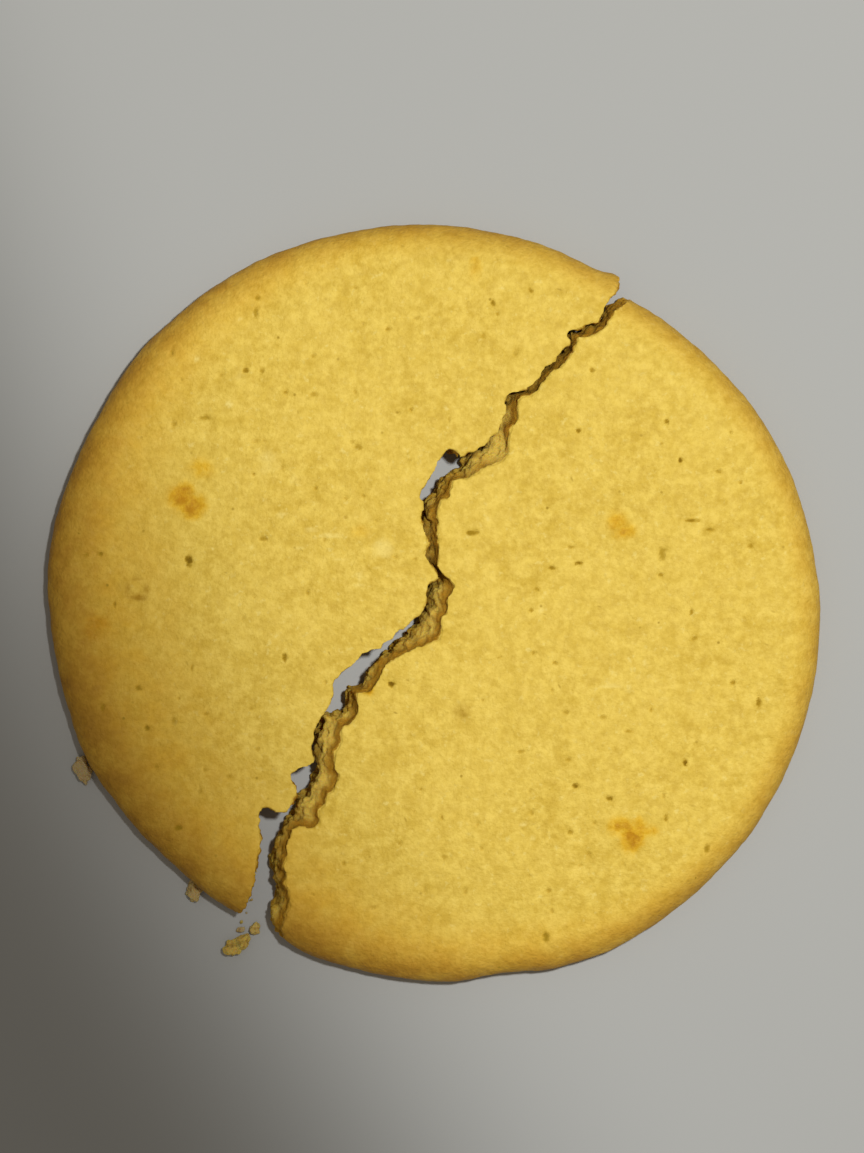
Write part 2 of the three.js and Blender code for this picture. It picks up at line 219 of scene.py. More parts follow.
# Each browned spot: x, y, how wide, how high, how brown. Below nought it is olive. The first olive one, wide
# along the top rim, is painted shade.
SPOTS = (
    (-24.9, 10.6, 3.2, 3.2, 0.84), (-23.9, 9.6, 3.0, 2.5, 0.84), (-23.1, 13.3, 3.4, 2.6, 0.45),
    (18.2, 7.9, 2.6, 2.8, 0.55), (18.8, 7.2, 2.7, 2.2, 0.6), (18.7, -22.1, 3.4, 2.3, 0.7),
    (19.7, -23.3, 2.8, 3.1, 1.0), (20.3, -22.1, 1.8, 2.3, 0.7), (21.4, -22.6, 2.0, 1.5, 0.55),
    (-7.3, 7.1, 2.4, 1.8, 0.35), (-33.5, -2.1, 3.2, 3.4, 0.4), (-6.5, -8.3, 1.3, 1.9, 0.9),
    # The next mark, a wide olive band along the top rim, is painted shade.
    (3.5, 35.2, 15.0, 3.6, -0.24), (2.8, -10.7, 2.2, 2.2, -0.5), (-29.3, 0.6, 2.0, 0.9, -0.8),
    (-30.4, 1.4, 0.8, 1.7, -0.5), (-28.5, 1.3, 0.8, 1.5, -0.6), (-29.5, 2.4, 1.6, 0.7, -0.45),
    (4.1, 33.5, 1.6, 3.6, 0.35),
)
# Each place where a flake of crust has gone and pale crumb shows: x, y, how wide, how high, how pale.
CHIPS = ((6.0, 15.2, 4.0, 3.6, 1.0), (3.6, 13.5, 2.6, 1.6, 0.7))
# Each pale fleck, partly sugar and partly painted sheen: x, y, how wide, how high, how pale.
SUGAR_AND_SHEEN = (
    (-23.6, 24.2, 0.7, 0.7, 0.6), (-20.3, 19.7, 0.9, 0.7, 0.7), (-16.4, 14.1, 2.4, 2.4, 0.4),
    (-5.2, 5.5, 2.4, 2.2, 0.5), (-12.2, 7.3, 1.8, 0.5, 0.5), (-10.2, 6.7, 1.8, 0.6, 0.6),
    (-13.3, 5.5, 1.3, 0.5, 0.45), (-9.4, 4.3, 1.2, 0.45, 0.45), (-7.3, 2.7, 0.9, 1.0, 0.5),
    (-7.3, 1.8, 1.4, 0.5, 0.45), (-5.6, 3.5, 0.9, 0.5, 0.4), (-15.1, 8.8, 1.0, 0.6, 0.5),
    (-18.0, 5.5, 0.6, 0.5, 0.5), (-13.9, 12.2, 1.2, 1.4, 0.3), (10.6, -0.7, 0.6, 0.6, 0.6),
    (17.4, -8.2, 2.2, 0.45, 0.5), (22.8, -9.5, 1.4, 0.45, 0.5), (20.9, -5.9, 0.6, 0.6, 0.6),
    (17.9, -7.0, 0.9, 0.45, 0.4), (20.1, -7.3, 0.9, 0.45, 0.4), (-19.4, 22.4, 1.6, 1.8, 0.3),
    (-14.8, 18.4, 0.8, 0.45, 0.35), (4.1, -20.9, 0.8, 0.45, 0.6), (7.9, -20.5, 0.8, 0.6, 0.65),
    (8.8, -21.9, 0.8, 0.45, 0.65), (9.8, -23.3, 0.6, 0.5, 0.5), (12.6, -19.3, 0.5, 0.5, 0.55),
    (6.6, -20.6, 0.5, 0.45, 0.5), (2.6, -21.9, 0.5, 0.9, 0.45), (0.5, -23.2, 0.45, 0.8, 0.4),
)
print(len(PORES), "pores,", len(SPOTS), "spots and", len(SUGAR_AND_SHEEN), "pale flecks placed by hand")

# %% [markdown]
# The next steps read all of a mesh's points at once, move them and put them back, which is far quicker than
# going from vertex to vertex. They also ask how far points are from each other, and a search tree answers
# that quickly.

# %% Small tools for meshes
def settle(piece):
    """Makes the piece's modifiers part of its mesh."""
    graph = bpy.context.evaluated_depsgraph_get()
    shaped = bpy.data.meshes.new_from_object(piece.evaluated_get(graph))
    faceted = piece.data
    piece.modifiers.clear()
    piece.data = shaped
    bpy.data.meshes.remove(faceted)
    shaped.name = piece.name


def read(piece, what):
    """The vertices' places or normals, as rows of x, y, z."""
    flat = np.empty(len(piece.data.vertices) * 3)
    piece.data.vertices.foreach_get(what, flat)
    return flat.reshape(-1, 3)


def put(piece, place):
    """Gives the vertices new places."""
    piece.data.vertices.foreach_set("co", place.ravel())
    piece.data.update()


def gap_to(place, targets):
    """How far each place is from the nearest of the targets."""
    tree = kdtree.KDTree(len(targets))
    for i, target in enumerate(targets):
        tree.insert(target, i)
    tree.balance()
    return np.array([tree.find(p)[2] for p in place])


print("four mesh tools ready")

# %% [markdown]
# Relief needs many small faces, and the solids have few large ones. A voxel remesh covers a copy with an even
# grid. The broken wall, its lip and the pores show the finest detail, so their faces are split once more, and
# the flat underside is thinned again, because nothing there needs so many. Subdividing the solid's own long
# facets would give faces of very uneven size.

# %% A fine, even mesh for each half
GRID = 0.28
JOIN_WITHIN = 0.001
THIN_ROUNDS = 4
UNDERSIDE_BELOW = 0.02
WALL_STARTS = 0.18
LIP_WIDTH = 0.5
PORE_MARGIN = 0.3


def near_pores(place):
    """Which places lie in a pore or just beside one."""
    near = np.zeros(len(place), bool)
    for x, y, wide, high, dark in PORES:
        reach = max(wide, high) / 2 + PORE_MARGIN
        near |= (np.hypot(place[:, 0] - x, place[:, 1] - y) < reach) & (place[:, 2] > BELLY_HEIGHT)
    return near


def fine_copy(node, name):
    """A copy of a solid, in millimetres, under an even grid."""
    bm = bmesh.new()
    bm.from_mesh(node.data)
    bmesh.ops.scale(bm, vec=(1 / MM,) * 3, verts=bm.verts)
    bmesh.ops.remove_doubles(bm, verts=bm.verts, dist=JOIN_WITHIN)
    mesh = bpy.data.meshes.new(name)
    bm.to_mesh(mesh)
    bm.free()
    piece = bpy.data.objects.new(name, mesh)
    scene.collection.objects.link(piece)
    grid = piece.modifiers.new("even_grid", "REMESH")
    grid.mode = "VOXEL"
    grid.voxel_size = GRID
    settle(piece)
    return piece


def thin_underside(bm):
    """Makes the flat underside's grid coarse, away from its edges."""
    flat = [v for v in bm.verts if v.co.z < UNDERSIDE_BELOW]
    inner = [v for v in flat if all(e.other_vert(v).co.z < UNDERSIDE_BELOW for e in v.link_edges)]
    bmesh.ops.unsubdivide(bm, verts=inner, iterations=THIN_ROUNDS)


def split_where(bm, wanted):
    """Splits every edge whose two ends are both wanted."""
    edges = [e for e in bm.edges if wanted[e.verts[0].index] and wanted[e.verts[1].index]]
    bmesh.ops.subdivide_edges(bm, edges=edges, cuts=1, use_grid_fill=True)


def refine(piece, half):
    """Thins the underside, and splits the faces of the broken wall, its lip and the pores."""
    bm = bmesh.new()
    bm.from_mesh(piece.data)
    thin_underside(bm)
    bm.verts.ensure_lookup_table()
    bm.verts.index_update()
    place = np.array([v.co for v in bm.verts])
    wall = skin_depth(half, place) > WALL_STARTS
    lip = (gap_to(place, place[wall]) < LIP_WIDTH) & (place[:, 2] > BELLY_HEIGHT)
    split_where(bm, wall | lip | near_pores(place))
    bm.to_mesh(piece.data)
    bm.free()


pieces = {}
for name, half in HALVES.items():
    piece = fine_copy(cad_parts[name], name + "_baked")
    first = len(piece.data.polygons)
    refine(piece, half)
    pieces[name] = piece
    print(f"{piece.name}: {first} even faces, then {len(piece.data.polygons)}")

# %% [markdown]
# Each vertex is told whether it belongs to the baked skin or to the crumb inside, and how near the break it
# lies. The skin's vertices move the last few hundredths of a millimetre onto the smooth form, so no facet is
# left to catch the light. The crumb right under the crust baked harder, and it also gets a painted shade
# under the lip. Ledges of crumb face up to the light and get a paler painted light. Where the break is
# narrow, little light gets in, so the crumb there gets a painted shade. All of it could be painted on by
# hand, but then it would have to be painted again after every change of the mesh.

# %% Skin and crumb
CRUMB_FROM = 0.1
CRUMB_FULL = 0.4
UNDER_CRUST = (0.3, 1.2)
LEDGE_SLOPES = (0.45, 0.9)
NARROW_GAPS = (0.3, 1.6)
SHADED_BELOW = (0.2, 1.2)
SHADE_ON_LEDGES = 0.7
MOVED_WITHIN = (0.06, 0.16)
FLAT = (1, 1, 0)


def keep_values(piece, name, values):
    """Stores one number for each vertex, for the material and the later steps to read."""
    mesh = piece.data
    held = mesh.attributes.get(name) or mesh.attributes.new(name, "FLOAT", "POINT")
    held.data.foreach_set("value", np.asarray(values, np.float32))


def kept_values(piece, name):
    """Reads back the numbers that keep_values stored."""
    values = np.empty(len(piece.data.vertices), np.float32)
    piece.data.attributes[name].data.foreach_get("value", values)
    return values


for name, piece in pieces.items():
    half = HALVES[name]
    place = read(piece, "co")
    depth = skin_depth(half, place)
    crumb = smoothstep(depth, CRUMB_FROM, CRUMB_FULL)
    from_break = gap_to(place, place[crumb > 0.5])
    # Crumb that faces up gets a painted light: the material lays a paler colour on these ledges.
    lit_ledge = crumb * smoothstep(read(piece, "normal")[:, 2], *LEDGE_SLOPES)
    crust = place[(crumb < 0.1) & (place[:, 2] > BELLY_HEIGHT)] * FLAT
    # Crumb right under the crust: it baked harder, and the material also paints shade there under the lip.
    hard_and_shaded = crumb * (1 - smoothstep(gap_to(place * FLAT, crust), *UNDER_CRUST))
    on_skin = (1 - smoothstep(under_skin(half, place), *MOVED_WITHIN)) * (place[:, 2] > UNDERSIDE_BELOW)
    place += (skin_point(half, place) - place) * on_skin[:, None]
    put(piece, place)
    keep_values(piece, "crumb", crumb)
    keep_values(piece, "from_break", from_break)
    keep_values(piece, "lit_ledge", lit_ledge)
    keep_values(piece, "hard_and_shaded", hard_and_shaded)
    print(f"{piece.name}: {100 * crumb.mean():.0f}% of its vertices are crumb")

# Painted shade: crumb where the break is narrow is coloured darker.
for name, other in (("left_half", "right_half"), ("right_half", "left_half")):
    piece = pieces[name]
    torn = np.flatnonzero(kept_values(piece, "crumb") > 0)
    place = read(piece, "co")[torn]
    across = gap_to(place, read(pieces[other], "co"))
    shaded = smoothstep(under_skin(HALVES[name], place), *SHADED_BELOW)
    narrow_shade = np.zeros(len(piece.data.vertices))
    narrow_shade[torn] = (1 - smoothstep(across, *NARROW_GAPS)) * shaded
    keep_values(piece, "narrow_shade", narrow_shade * (1 - SHADE_ON_LEDGES * kept_values(piece, "lit_ledge")))
    print(f"{piece.name}: the break is {across.min():.2f} to {across.max():.1f} mm wide")

# %% [markdown]
# Every pore is a small pit with a ragged outline, pressed into the mesh, and the material darkens it. The
# browned spots, the olive band of painted shade along the top rim, the pale flecks of sugar and painted sheen
# and the place where the flake came off are only colour. All are measured from their listed centres, with
# noise that frays their edges, so that no two look stamped. An image could hold them too, but numbers on the
# vertices stay sharp at any size.

# %% Pores and spots in the skin
PORE_DEPTH = 0.35
PORE_EDGE = (0.3, 1.45)
PORE_FRAY = 0.5
SPOT_EDGE = (0.0, 1.5)
SPOT_FRAY = 0.25
# How fast the finer ripples of an outline fade, how much finer each is than the last, and how many there are.
FRAY_RIPPLES = (0.8, 2.0, 3)
TOP_FROM = (1.5, 2.5)


def marks_on(place, marks, edge, fray):
    """How strongly each place lies in one of the marks, with frayed outlines."""
    felt = np.zeros(len(place))
    for x, y, wide, high, strength in marks:
        reach = max(wide, high) * (1 + fray)
        near = np.flatnonzero((abs(place[:, 0] - x) < reach) & (abs(place[:, 1] - y) < reach))
        if not len(near):
            continue
        wobble = np.array([noise.fractal(Vector(p) * 2 / wide, *FRAY_RIPPLES) for p in place[near]])
        away = np.hypot((place[near, 0] - x) / wide, (place[near, 1] - y) / high) * 2
        inside = 1 - smoothstep(away + fray * wobble, *edge)
        stronger = np.abs(strength * inside) > np.abs(felt[near])
        felt[near[stronger]] = (strength * inside)[stronger]
    return felt


for piece in pieces.values():
    place = read(piece, "co")
    on_top = smoothstep(place[:, 2], *TOP_FROM)
    pore = marks_on(place, PORES, PORE_EDGE, PORE_FRAY) * on_top
    keep_values(piece, "pore", pore)
    keep_values(piece, "spot_and_shade", marks_on(place, SPOTS, SPOT_EDGE, SPOT_FRAY) * on_top)
    keep_values(piece, "sugar_and_sheen", marks_on(place, SUGAR_AND_SHEEN, PORE_EDGE, PORE_FRAY) * on_top)
    keep_values(piece, "chip", marks_on(place, CHIPS, SPOT_EDGE, SPOT_FRAY) * on_top)
    place[:, 2] -= PORE_DEPTH * pore
    put(piece, place)
    print(f"{piece.name}: {int((pore > 0.3).sum())} vertices lie in pores")

# %% [markdown]
# A baked skin is never smooth: it has low swells, dimples and a fine grain. The broken wall is torn crumb, a
# mass of grains with small holes between them, calmer right under the hard crust, and the lip above it
# breaks in tiny steps. Layers of soft noise, each with its own size and height, lift the vertices along
# their normals. Sculpting would be freer, but here every layer can be tuned alone, and the material can read
# how deep each hollow came out and paint shade into it to match.

# %% Relief
# Each layer: how wide its lumps are, how far they stand out, and where its pattern starts.
SKIN_LAYERS = ((5.0, 0.10, 11), (1.3, 0.07, 23), (0.6, 0.035, 37))
CRUMB_LAYERS = ((1.7, 0.45, 5), (0.8, 0.32, 17), (0.42, 0.19, 29), (0.27, 0.1, 41))
HOLE_SPACING = 0.9
HOLE_EDGE = (0.12, 0.42)
HOLE_DEPTH = 0.22
CALM_UNDER_CRUST = 0.5
HOLLOW_FROM = (0.05, 0.55)
CALM_AT_BASE = (0.0, 0.4)
# Each jag layer: how wide its steps are and how far they push.
JAG_LAYERS = ((1.2, 0.16), (0.5, 0.12))
JAG_FADES = 0.8
# Noise vectors start from the time of day unless they are given a seed.
JAG_SEED = 5
noise.seed_set(JAG_SEED)


def lumps(place, layers):
    """How far the layers of soft noise lift each place."""
    height = np.zeros(len(place))
    for wide, tall, start in layers:
        height += tall * np.array([noise.noise(Vector(p) / wide + Vector((start,) * 3)) for p in place])
    return height


def holes(place):
    """How far each place lies inside one of the crumb's small holes."""
    away = np.array([noise.voronoi(Vector(p) / HOLE_SPACING)[0][0] for p in place])
    return 1 - smoothstep(away, *HOLE_EDGE)


def jags(place):
    """How far each place near the break is pushed sideways."""
    push = np.zeros(place.shape)
    for wide, reach in JAG_LAYERS:
        push += np.array([noise.noise_vector(Vector(p)) for p in place / wide]) * reach
    return push * FLAT


for piece in pieces.values():
    place = read(piece, "co")
    normal = read(piece, "normal")
    crumb = kept_values(piece, "crumb")
    from_break = kept_values(piece, "from_break")
    torn = np.flatnonzero(crumb > 0)
    height = (1 - crumb) * lumps(place, SKIN_LAYERS)
    rough = lumps(place[torn], CRUMB_LAYERS) - HOLE_DEPTH * holes(place[torn])
    height[torn] += crumb[torn] ** 2 * rough * (1 - CALM_UNDER_CRUST * kept_values(piece, "hard_and_shaded")[torn])
    # Painted shade: the deeper a hollow in the crumb, the darker the material paints it.
    shade_in_hollows = np.zeros(len(place))
    shade_in_hollows[torn] = crumb[torn] * smoothstep(-rough, *HOLLOW_FROM)
    keep_values(piece, "shade_in_hollows", shade_in_hollows)
    place += normal * (height * smoothstep(place[:, 2], *CALM_AT_BASE))[:, None]
    near = np.flatnonzero(from_break < JAG_FADES)
    place[near] += jags(place[near]) * (1 - smoothstep(from_break[near], 0.0, JAG_FADES))[:, None]
    put(piece, place)
    print(f"{piece.name}: crumb stands {rough.max():.2f} mm out and falls {-rough.min():.2f} mm back")

# %% [markdown]
# Heat reaches the rim first, so the skin turns golden a few millimetres in from it, and brown right at the
# edge. Towards the lower left it is browned more and much farther in. The underside lay on the hot tray and
# browned all over. A gradient across the whole cookie could stand for it, but numbers on the vertices follow
# the rim and the underside exactly.

# %% Browned rim
BROWNEST_TOWARDS = 204
# Each pair: on the paler side, and towards the lower left.
GOLDEN_WIDTHS = (4.0, 20.0)
GOLDEN_STRENGTHS = (0.5, 0.95)
BROWN_WIDTHS = (2.8, 8.0)
BROWN_STRENGTHS = (0.38, 0.76)
# How much more quickly the width of the browned band falls off away from the lower left.
LOWER_LEFT_FALLS = 3
UNDERSIDE_BROWN = 0.6
UNDERSIDE_FADES = 0.6


def between(pair, share):
    """A value between the paler side's and the lower left's."""
    return pair[0] + share * (pair[1] - pair[0])


for name, piece in pieces.items():
    half = HALVES[name]
    place = read(piece, "co")
    out = place[:, :2] - half["centre"]
    inward = half["radius"] - np.hypot(out[:, 0], out[:, 1])
    degrees = np.degrees(np.arctan2(out[:, 1], out[:, 0]))
    # Towards the lower left the rim browns more and farther in.
    lower_left_share = 0.5 + 0.5 * np.cos(np.radians(degrees - BROWNEST_TOWARDS))
    reach = lower_left_share**LOWER_LEFT_FALLS
    golden = 1 - smoothstep(inward / between(GOLDEN_WIDTHS, reach), 0, 1)
    golden *= between(GOLDEN_STRENGTHS, lower_left_share)
    brown = 1 - smoothstep(inward / between(BROWN_WIDTHS, reach), 0, 1)
    brown *= between(BROWN_STRENGTHS, lower_left_share)
    under = 1 - smoothstep(place[:, 2], 0.0, UNDERSIDE_FADES)
    keep_values(piece, "golden", np.maximum(golden, under))
    keep_values(piece, "browned", np.maximum(brown, UNDERSIDE_BROWN * under))
    print(f"{piece.name}: {100 * (brown > 0.1).mean():.0f}% of its vertices are browned rim")

# %% [markdown]
# A few crumbs fell beside the rim and into the mouth of the break, and some of them dried out and paled. A
# crumb is a torn lump, so each starts as a ball of small faces, is squashed, gets the crumb's own relief and
# is set down on the floor. Particles could scatter them, but so few are sooner listed one by one. All of them
# are one piece of mesh, because they are one kind of thing.

# %% Loose crumbs
# Each crumb: x, y, how long, wide and tall, the way that its length points in degrees, and how dry.
CRUMBS = (
    (-35.15, -16.8, 2.6, 1.5, 0.9, 100, 0.9), (-24.0, -28.7, 2.1, 1.6, 1.1, 65, 0.75),
    (-20.2, -34.6, 1.6, 1.5, 1.2, 10, 0.2), (-19.2, -34.0, 1.7, 1.3, 1.1, 35, 0.2),
    (-17.9, -32.7, 1.4, 1.0, 0.8, 75, 0.4), (-19.4, -32.8, 0.9, 0.7, 0.5, 20, 1.0),
)
GRAIN_COUNT = 14
GRAIN_SEED = 12
GRAINS_FROM = (-18.2, -26.5)
GRAINS_TO = (-19.2, -34.0)
GRAINS_STRAY = 0.5
GRAIN_SIZES = (0.22, 0.55)
GRAIN_SHAPE = (1.0, 0.8, 0.6)
FINE_BALL_FROM = 0.8
CRUMB_LUMPS = ((1.0, 0.55, 3), (0.45, 0.35, 13), (0.25, 0.16, 31))
HOLLOW_SHADE = 2.5


def fine_grains():
    """The smallest crumbs, scattered with a seed along the mouth of the break."""
    draw = random.Random(GRAIN_SEED)
    grains = []
    for _ in range(GRAIN_COUNT):
        along = draw.random()
        x, y = (between((start, end), along) + draw.uniform(-GRAINS_STRAY, GRAINS_STRAY)
                for start, end in zip(GRAINS_FROM, GRAINS_TO))
        size = draw.uniform(*GRAIN_SIZES)
        shape = [size * part for part in GRAIN_SHAPE]
        grains.append((x, y, *shape, draw.uniform(0, 180), draw.random()))
    return grains


def add_crumb(bm, kept, x, y, long, wide, tall, turn, dry):
    """One torn lump, squashed and set down on the floor. Its dryness and the painted shade of its hollows are
    kept with it.
    """
    rounds = 4 if long > FINE_BALL_FROM else 2
    ball = bmesh.ops.create_icosphere(bm, subdivisions=rounds, radius=0.5)["verts"]
    bmesh.ops.scale(bm, vec=(long, wide, tall), verts=ball)
    bmesh.ops.rotate(bm, matrix=Matrix.Rotation(math.radians(turn), 3, "Z"), verts=ball)
    place = np.array([v.co for v in ball]) + (x, y, 0)
    stretch = 1 + lumps(place, CRUMB_LUMPS)
    for v, more in zip(ball, stretch):
        v.co *= more
        v[kept["dry"]] = dry
        # Painted shade: dents in a crumb are coloured darker.
        v[kept["shade_in_hollows"]] = max(0, 1 - more) * HOLLOW_SHADE
    lowest = min(v.co.z for v in ball)
    bmesh.ops.translate(bm, vec=(x, y, -lowest), verts=ball)


bm = bmesh.new()
for what in ("dry", "shade_in_hollows"):
    bm.verts.layers.float.new(what)
kept = {what: bm.verts.layers.float[what] for what in ("dry", "shade_in_hollows")}
for lump in (*CRUMBS, *fine_grains()):
    add_crumb(bm, kept, *lump)
crumbs = bpy.data.objects.new("crumbs", bpy.data.meshes.new("crumbs"))
bm.to_mesh(crumbs.data)
bm.free()
scene.collection.objects.link(crumbs)
# Loose crumbs get the paler painted light of up-facing crumb all over.
for what in ("crumb", "lit_ledge"):
    keep_values(crumbs, what, np.ones(len(crumbs.data.vertices)))
print(len(CRUMBS) + GRAIN_COUNT, "crumbs with", len(crumbs.data.polygons), "faces")

# %% [markdown]
# The material is made of nodes. They could be placed and linked one by one, but these helpers add one kind
# of node each and hand back the socket that the next one reads, so the finish itself becomes a few plain
# lines.

# %% Helpers for the finish
FLECK_CORE = 0.3


def feed(tree, socket, value):
    """Links a socket to another, or sets it to a plain value."""
    if isinstance(value, bpy.types.NodeSocket):
        tree.links.new(value, socket)
    else:
        socket.default_value = value


def attribute(tree, name):
    """The numbers that were kept on the vertices under this name."""
    read_one = tree.nodes.new("ShaderNodeAttribute")
    read_one.attribute_name = name
    return read_one.outputs["Fac"]


def ranged(tree, value, low, high, to_low=0.0, to_high=1.0):
    """Maps a value smoothly from one range to another."""
    made = tree.nodes.new("ShaderNodeMapRange")
    made.interpolation_type = "SMOOTHSTEP"
    for socket, given in zip(made.inputs, (value, low, high, to_low, to_high)):
        feed(tree, socket, given)
    return made.outputs["Result"]


def maths(tree, how, first, second):
    """One sum with two values or sockets."""
    made = tree.nodes.new("ShaderNodeMath")
    made.operation = how
    feed(tree, made.inputs[0], first)
    feed(tree, made.inputs[1], second)
    return made.outputs["Value"]


def laid_over(tree, share, under, over, how="MIX"):
    """One colour laid over another, as strongly as the share says. MULTIPLY stains the one below."""
    made = tree.nodes.new("ShaderNodeMix")
    made.data_type = "RGBA"
    made.blend_type = how
    colours = [s for s in made.inputs if s.type == "RGBA"]
    feed(tree, made.inputs[0], share)
    feed(tree, colours[0], under)
    feed(tree, colours[1], over)
    return [s for s in made.outputs if s.type == "RGBA"][0]


def in_millimetres(tree, stretch=(1, 1, 1), turn=0.0):
    """Places on the object in millimetres. What is drawn there can be stretched, then turned."""
    place = tree.nodes.new("ShaderNodeTexCoord")
    made = tree.nodes.new("ShaderNodeMapping")
    made.vector_type = "TEXTURE"
    made.inputs["Scale"].default_value = [s * MM for s in stretch]
    made.inputs["Rotation"].default_value = (0, 0, math.radians(turn))
    tree.links.new(place.outputs["Object"], made.inputs["Vector"])
    return made.outputs["Vector"]


def grain(tree, vector, size, detail=2, rough=0.5, frayed=0.0):
    """Soft noise whose patches are about that many millimetres wide."""
    made = tree.nodes.new("ShaderNodeTexNoise")
    feed(tree, made.inputs["Vector"], vector)
    made.inputs["Scale"].default_value = 1 / size
    made.inputs["Detail"].default_value = detail
    made.inputs["Roughness"].default_value = rough
    made.inputs["Distortion"].default_value = frayed
    return made.outputs["Fac"]


def flecks(tree, vector, spacing, reach, chance):
    """Small dots at uneven distances. Only a share of them shows, some faintly."""
    dots = tree.nodes.new("ShaderNodeTexVoronoi")
    feed(tree, dots.inputs["Vector"], vector)
    dots.inputs["Scale"].default_value = 1 / spacing
    dot = ranged(tree, dots.outputs["Distance"], FLECK_CORE * reach, reach, 1.0, 0.0)
    shown = ranged(tree, dots.outputs["Color"], 1 - chance, 1.0)
    return maths(tree, "MULTIPLY", dot, shown)


print("eight node helpers ready")

# %% [markdown]
# Egg yolk makes the skin a warm, pale yellow. It isn't even: where the batter lay thin it is paler, and where
# sugar gathered it is deeper, and a fine grain runs through all of it. The rim's gold and brown are laid over
# that, and the spots stain it, except one wide olive band along the top rim, which is painted shade. The pale
# flecks are partly sugar and partly painted sheen. Tiny pores, too many to place one by one, come from dots
# that the material scatters itself. An image as texture would show all this at once, but noise has no edges
# or light in it.

# %% The skin's colour
SKIN_PALE = (0.895, 0.65, 0.115, 1)
SKIN_DEEP = (0.735, 0.50, 0.06, 1)
SKIN_FLECK = (0.91, 0.71, 0.19, 1)
SKIN_SHADE = (0.80, 0.76, 0.54, 1)
SKIN_GOLDEN = (0.79, 0.45, 0.032, 1)
SKIN_BROWNED = (0.42, 0.205, 0.022, 1)
STAIN_GOLDEN = (0.95, 0.79, 0.19, 1)
STAIN_BROWN = (0.70, 0.54, 0.12, 1)
# Olive stains, and the painted shade of the band along the top rim.
OLIVE_STAIN_AND_SHADE = (0.60, 0.50, 0.16, 1)
# Pale flecks: partly sugar, partly painted sheen.
SUGAR_AND_SHEEN_PALE = (0.97, 0.77, 0.22, 1)
PORE_OLIVE = (0.42, 0.26, 0.013, 1)
PORE_DARK = (0.19, 0.105, 0.002, 1)
# Each kind of streak: how it is stretched, and turned by how many degrees.
STREAKS = (((1, 2.8, 1), 25), ((2.8, 1, 1), -15), ((1, 2.5, 1), 70))


def faint_pores(tree):
    """Tiny pores, some round and some drawn out to one side or another."""
    felt = flecks(tree, in_millimetres(tree), spacing=1.9, reach=0.11, chance=0.55)
    for stretch, turn in STREAKS:
        streak = flecks(tree, in_millimetres(tree, stretch, turn), spacing=2.1, reach=0.07, chance=0.5)
        felt = maths(tree, "MAXIMUM", felt, streak)
    return felt


def skin_colour(tree, at):
    """Patches and grain, then the rim's browning, then spots and painted shade, flecks and painted sheen, and
    the smallest pores.
    """
    patches = ranged(tree, grain(tree, at, size=1.6, detail=4, rough=0.7), 0.34, 0.66)
    colour = laid_over(tree, patches, SKIN_DEEP, SKIN_PALE)
    broad = ranged(tree, grain(tree, at, size=7.0), 0.35, 0.65, to_high=0.4)
    colour = laid_over(tree, broad, colour, SKIN_PALE)
    pale = ranged(tree, grain(tree, at, size=0.7, detail=3, rough=0.6), 0.58, 0.75, to_high=0.7)
    colour = laid_over(tree, pale, colour, SKIN_FLECK)
    uneven = ranged(tree, grain(tree, at, size=3.0, detail=3, rough=0.6), 0.25, 0.75, 0.65, 1.3)
    golden = maths(tree, "MULTIPLY", attribute(tree, "golden"), uneven)
    colour = laid_over(tree, golden, colour, SKIN_GOLDEN)
    brown = maths(tree, "MULTIPLY", attribute(tree, "browned"), uneven)
    colour = laid_over(tree, brown, colour, SKIN_BROWNED)
    fine = ranged(tree, grain(tree, at, size=0.65, detail=3, rough=0.65), 0.34, 0.66, to_high=0.62)
    colour = laid_over(tree, fine, colour, SKIN_SHADE, "MULTIPLY")
    blotch = ranged(tree, grain(tree, at, size=0.7, detail=3, rough=0.6), 0.3, 0.7, 0.75, 1.25)
    marks = maths(tree, "MULTIPLY", attribute(tree, "spot_and_shade"), blotch)
    colour = laid_over(tree, ranged(tree, marks, 0.0, 0.6), colour, STAIN_GOLDEN, "MULTIPLY")
    colour = laid_over(tree, ranged(tree, marks, 0.35, 1.0), colour, STAIN_BROWN, "MULTIPLY")
    # The olive marks include a wide band of painted shade along the top rim.
    olive_and_shade = ranged(tree, maths(tree, "MULTIPLY", marks, -1.0), 0.0, 0.8)
    colour = laid_over(tree, olive_and_shade, colour, OLIVE_STAIN_AND_SHADE, "MULTIPLY")
    # Pale flecks, partly sugar and partly painted sheen.
    colour = laid_over(tree, ranged(tree, attribute(tree, "sugar_and_sheen"), 0.0, 1.0), colour, SUGAR_AND_SHEEN_PALE)
    return laid_over(tree, faint_pores(tree), colour, PORE_OLIVE)


print("skin goes from", SKIN_DEEP[:3], "to", SKIN_PALE[:3])

# %% [markdown]
# Inside, the cookie is a dull golden brown. Its hollows get a painted shade, darker the deeper they are,
# where light is lost between the grains. Right under the crust it is orange-brown, partly because it baked
# harder and partly as painted shade under the lip, and it is paler where a crumb dried out. Noise could
# darken it anywhere, but the hollows come from the numbers that the relief left on the vertices, so that the
# painted shade and real depth fall in the same places.

# %% The crumb's colour
CRUMB_PALE = (0.62, 0.405, 0.06, 1)
CRUMB_DEEP = (0.42, 0.235, 0.015, 1)
# Painted light on crumb that faces up.
CRUMB_LIT_LEDGE = (0.72, 0.50, 0.085, 1)
# Harder baked crumb under the lip, darkened further by painted shade.
CRUMB_HARD_AND_SHADED = (0.40, 0.19, 0.006, 1)
# Painted shade in the narrow part of the break.
CRUMB_NARROW_SHADE = (0.20, 0.10, 0.003, 1)
# The painted shade of hollows in the crumb.
CRUMB_SHADE_IN_HOLLOWS = (0.23, 0.125, 0.007, 1)
CRUMB_CHIP = (0.74, 0.52, 0.09, 1)
CRUMB_DRY = (0.50, 0.38, 0.19, 1)


